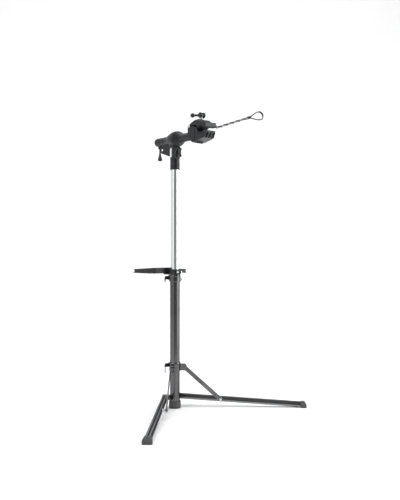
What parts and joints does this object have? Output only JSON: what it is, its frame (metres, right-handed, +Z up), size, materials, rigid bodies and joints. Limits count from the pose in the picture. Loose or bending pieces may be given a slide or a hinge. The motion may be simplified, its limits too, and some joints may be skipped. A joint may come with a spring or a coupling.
{
  "type": "bike repair stand",
  "caption": "Folding work stand that holds a bicycle off the floor in a turning padded clamp on a sliding mast, with folding legs, a tool tray and a rope that steadies the handlebar.",
  "frame": {"origin": "middle of the column's foot, on the floor", "axes": "+Z up the column, -Y forwards along the arm to the clamp, +X to the side that the rope goes to"},
  "size_m": [0.9975, 0.6495, 1.4475],
  "materials": {
    "black_tube": "dark grey anodised, satin",
    "silver_tube": "bright anodised",
    "steel": "zinc plated",
    "casting": "black powder coated casting",
    "black_plastic": "moulded, fine texture",
    "rubber": "matt black",
    "cord": "black twisted rope"
  },
  "bodies": {
    "base": {"column_foot": "rubber", "main_tube": "black_tube", "leg_hub": "black_plastic", "leg_pin_right": "steel", "leg_pin_left": "steel", "height_collar": "black_plastic", "height_bolt": "steel", "guide_screw": "steel"},
    "slider": {"slider_collar": "black_plastic", "slider_bolt": "steel", "brace_upper_pin_right": "steel", "brace_upper_pin_left": "steel"},
    "slider_lever": {"slider_lever": "steel"},
    "leg_right": {"leg_tube_right": "black_tube", "leg_knuckle_right": "black_plastic", "leg_foot_right": "rubber", "leg_lug_right": "steel"},
    "leg_left": {"leg_tube_left": "black_tube", "leg_knuckle_left": "black_plastic", "leg_foot_left": "rubber", "leg_lug_left": "steel"},
    "brace_right": {"brace_right": "black_tube", "brace_lower_pin_right": "steel"},
    "brace_left": {"brace_left": "black_tube", "brace_lower_pin_left": "steel"},
    "height_lever": {"height_lever": "black_plastic"},
    "mast": {"inner_tube": "silver_tube", "guide_bush": "black_plastic"},
    "tray": {"tray_ring": "black_plastic", "tray_pan": "black_plastic", "tray_screw_left": "steel", "tray_screw_right": "steel", "tray_bolt": "steel"},
    "head": {"head_bracket": "casting", "head_bolt_upper": "steel", "head_bolt_lower": "steel", "barrel_cap": "black_plastic", "friction_ring_1": "casting"},
    "head_lever": {"head_lever": "black_plastic"},
    "lock_screw": {"lock_screw": "steel", "lock_knob": "black_plastic"},
    "clamp": {"clamp_shaft": "casting", "friction_ring_2": "casting", "friction_ring_3": "casting", "lower_jaw": "casting", "lower_pad": "rubber", "jaw_pin": "steel"},
    "upper_jaw": {"upper_jaw": "casting", "upper_pad": "rubber", "strap_anchor": "steel", "strap_rope": "cord", "strap_ferrule": "rubber", "strap_loop": "cord"},
    "clamp_rod": {"clamp_rod": "steel", "cam_washer": "steel", "cam_pin": "steel"},
    "cam_lever": {"cam_lever": "black_plastic", "cam_ball": "black_plastic"},
    "adjuster": {"adjuster_wheel": "black_plastic"}
  },
  "joints": [
    {"name": "slider_slide", "type": "slide", "parent": "base", "child": "slider", "axis": [0, 0, 1], "range_m": [0, 0.3094]},
    {"name": "slider_lever_turn", "type": "hinge", "parent": "slider", "child": "slider_lever", "pos_m": [-0.022, 0.035, 0.205], "axis": [0, 1, 0], "range_deg": [0, 90]},
    {"name": "leg_fold_right", "type": "hinge", "parent": "base", "child": "leg_right", "pos_m": [0.03316, 0.0347, 0.05], "axis": [-0.6909, -0.723, 0], "range_deg": [0, 83.93]},
    {"name": "brace_fold_right", "type": "hinge", "parent": "slider", "child": "brace_right", "pos_m": [0.04428, -0.0188, 0.1945], "axis": [-0.6909, -0.723, 0], "range_deg": [-51.21, 0]},
    {"name": "leg_fold_left", "type": "hinge", "parent": "base", "child": "leg_left", "pos_m": [-0.0347, 0.03316, 0.05], "axis": [-0.723, 0.6909, 0], "range_deg": [0, 83.93]},
    {"name": "brace_fold_left", "type": "hinge", "parent": "slider", "child": "brace_left", "pos_m": [-0.04338, -0.02079, 0.1945], "axis": [-0.723, 0.6909, 0], "range_deg": [-51.21, 0]},
    {"name": "height_lever_turn", "type": "hinge", "parent": "base", "child": "height_lever", "pos_m": [-0.022, 0.035, 0.63], "axis": [0, 1, 0], "range_deg": [0, 90]},
    {"name": "mast_slide", "type": "slide", "parent": "base", "child": "mast", "axis": [0, 0, 1], "range_m": [-0.475, 0.04]},
    {"name": "tray_turn", "type": "hinge", "parent": "base", "child": "tray", "pos_m": [0, 0, 0.659], "axis": [0, 0, 1], "range_deg": [-330, 0]},
    {"name": "head_turn", "type": "hinge", "parent": "mast", "child": "head", "pos_m": [0, 0, 1.2], "axis": [0, 0, 1], "continuous": true},
    {"name": "head_lever_turn", "type": "hinge", "parent": "head", "child": "head_lever", "pos_m": [-0.0176, -0.0315, 1.252], "axis": [-1, 0, 0], "range_deg": [0, 100]},
    {"name": "lock_screw_turn", "type": "hinge", "parent": "head", "child": "lock_screw", "pos_m": [0, 0.12, 1.23], "axis": [0, 0, 1], "continuous": true},
    {"name": "arm_roll", "type": "hinge", "parent": "head", "child": "clamp", "pos_m": [0, -0.05, 1.301], "axis": [0, -1, 0], "continuous": true},
    {"name": "jaw_open", "type": "hinge", "parent": "clamp", "child": "upper_jaw", "pos_m": [0, -0.15, 1.34], "axis": [-1, 0, 0], "range_deg": [-3, 20]},
    {"name": "rod_lift", "type": "slide", "parent": "clamp", "child": "clamp_rod", "axis": [0, -0.2606, 0.9654], "range_m": [-0.00253, 0.0168]},
    {"name": "cam_lever_turn", "type": "hinge", "parent": "clamp_rod", "child": "cam_lever", "pos_m": [0, -0.202, 1.388], "axis": [1, 0, 0], "range_deg": [0, 110]},
    {"name": "adjuster_turn", "type": "hinge", "parent": "clamp", "child": "adjuster", "pos_m": [0, -0.1702, 1.2702], "axis": [0, -0.2606, 0.9654], "continuous": true}
  ],
  "couplings": [
    {"joint": "leg_fold_right", "follows": "slider_slide", "rad_per_m": 4.7335},
    {"joint": "leg_fold_left", "follows": "slider_slide", "rad_per_m": 4.7335},
    {"joint": "brace_fold_right", "follows": "slider_slide", "rad_per_m": -2.8872},
    {"joint": "brace_fold_left", "follows": "slider_slide", "rad_per_m": -2.8872},
    {"joint": "rod_lift", "follows": "jaw_open", "m_per_rad": 0.048}
  ]
}
